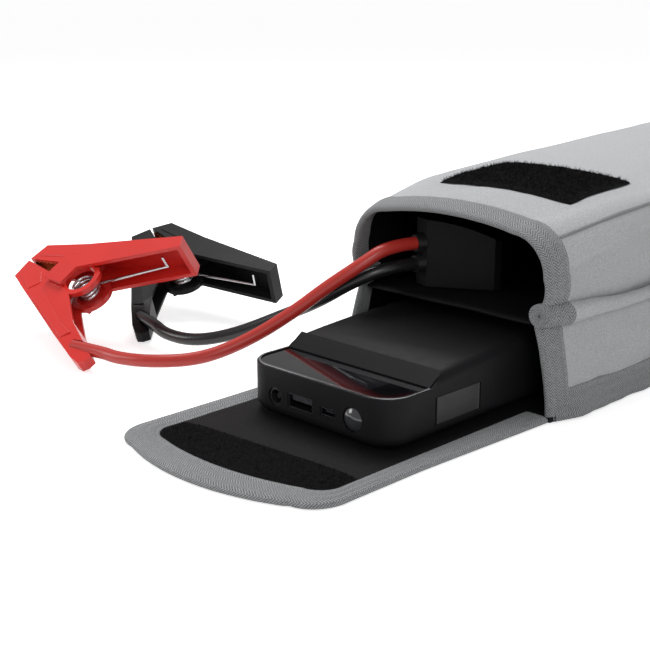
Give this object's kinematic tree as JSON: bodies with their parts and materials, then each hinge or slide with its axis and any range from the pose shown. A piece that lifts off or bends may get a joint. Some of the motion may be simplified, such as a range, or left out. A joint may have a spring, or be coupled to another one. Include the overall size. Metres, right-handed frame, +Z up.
{
  "type": "jump starter pack",
  "caption": "Fabric pouch with an open flap holding a slim portable car jump starter, with a boxed pair of battery clamp cables drawn out of the mouth.",
  "frame": {"origin": "on the floor, under the middle of the pouch mouth", "axes": "X across the pouch, +Y from the mouth to its closed end, +Z up"},
  "size_m": [0.2702, 0.3869, 0.091],
  "materials": {
    "grey_fabric": "woven polyester, matt",
    "binding_tape": "herringbone webbing, matt",
    "black_lining": "woven lining, matt",
    "black_pile": "looped pile, matt",
    "black_shell": "fine grain",
    "display_black": "polished",
    "silver_trim": "bright",
    "red_plastic": "satin",
    "clamp_black": "satin",
    "red_cable_sleeve": "satin",
    "black_cable_sleeve": "satin",
    "copper": "satin copper plate",
    "spring_steel": "bright wire",
    "connector_steel": "satin",
    "clear_lens": "clear",
    "led_white": "satin",
    "board_green": "solder mask",
    "cell_silver": "foil pouch",
    "socket_blue": "moulded",
    "relay_black": "moulded",
    "gold_contact": "plated",
    "screw_steel": "zinc plated",
    "port_rubber": "satin"
  },
  "bodies": {
    "pouch": {"base_panel": "grey_fabric", "top_panel": "grey_fabric", "left_gusset": "grey_fabric", "right_gusset": "grey_fabric", "end_panel": "grey_fabric", "divider_panel": "black_lining", "mouth_binding": "binding_tape", "left_side_ridge": "grey_fabric", "right_side_ridge": "grey_fabric", "left_base_tape": "binding_tape", "right_base_tape": "binding_tape", "loop_patch": "black_pile"},
    "flap": {"flap_panel": "black_lining", "flap_binding": "binding_tape", "hook_strip": "black_pile"},
    "starter": {"lower_case": "black_shell", "upper_case": "black_shell", "display_window": "display_black", "display_rim": "silver_trim", "brow_panel": "black_shell", "lcd_module": "display_black", "display_board": "board_green", "lamp_lens": "clear_lens", "torch_led": "led_white", "usb_a_port": "connector_steel", "micro_usb_port": "connector_steel", "dc_jack": "relay_black", "output_socket": "socket_blue", "socket_contacts": "gold_contact", "battery_cells": "cell_silver", "control_board": "board_green", "case_screws": "screw_steel"},
    "port_cover": {"port_cover": "port_rubber"},
    "power_button": {"power_button": "black_shell"},
    "cable_set": {"clamp_box_front": "black_shell", "clamp_box_rear": "black_shell", "clamp_box_board": "board_green", "relay": "relay_black", "output_plug": "socket_blue", "plug_contacts": "gold_contact", "box_screws": "screw_steel", "red_grommet": "black_cable_sleeve", "black_grommet": "black_cable_sleeve", "red_cable": "red_cable_sleeve", "black_cable": "black_cable_sleeve", "red_lower_arm": "red_plastic", "red_lower_jaw": "copper", "red_spring": "spring_steel", "black_lower_arm": "clamp_black", "black_lower_jaw": "copper", "black_spring": "spring_steel"},
    "red_clamp_upper": {"red_upper_arm": "red_plastic", "red_upper_jaw": "copper"},
    "black_clamp_upper": {"black_upper_arm": "clamp_black", "black_upper_jaw": "copper"}
  },
  "joints": [
    {"name": "flap_hinge", "type": "hinge", "parent": "pouch", "child": "flap", "pos_m": [0, 0, 0], "axis": [1, 0, 0], "range_deg": [0, 90]},
    {"name": "starter_slide", "type": "slide", "parent": "pouch", "child": "starter", "axis": [0, -1, 0], "range_m": [-0.018, 0.076]},
    {"name": "port_cover_hinge", "type": "hinge", "parent": "starter", "child": "port_cover", "pos_m": [0.0362, -0.0228, 0.0079], "axis": [0, 0, 1], "range_deg": [0, 90]},
    {"name": "power_button_press", "type": "slide", "parent": "starter", "child": "power_button", "axis": [1, 0, 0], "range_m": [0, 0.0006], "stiffness_N_per_m": 400},
    {"name": "cable_set_slide", "type": "slide", "parent": "pouch", "child": "cable_set", "axis": [0, -1, 0], "range_m": [0, 0.03]},
    {"name": "red_clamp_pivot", "type": "hinge", "parent": "cable_set", "child": "red_clamp_upper", "pos_m": [-0.1645, -0.06, 0.0258], "axis": [-0.0436, 0.5519, -0.8327], "range_deg": [0, 32], "stiffness_Nm_per_rad": 0.5, "springref_deg": -22.92, "deforming": ["red_spring"]},
    {"name": "black_clamp_pivot", "type": "hinge", "parent": "cable_set", "child": "black_clamp_upper", "pos_m": [-0.1682, -0.0008, 0.0221], "axis": [-0.1255, 0.3299, -0.9356], "range_deg": [0, 32], "stiffness_Nm_per_rad": 0.5, "springref_deg": -22.92, "deforming": ["black_spring"]}
  ]
}
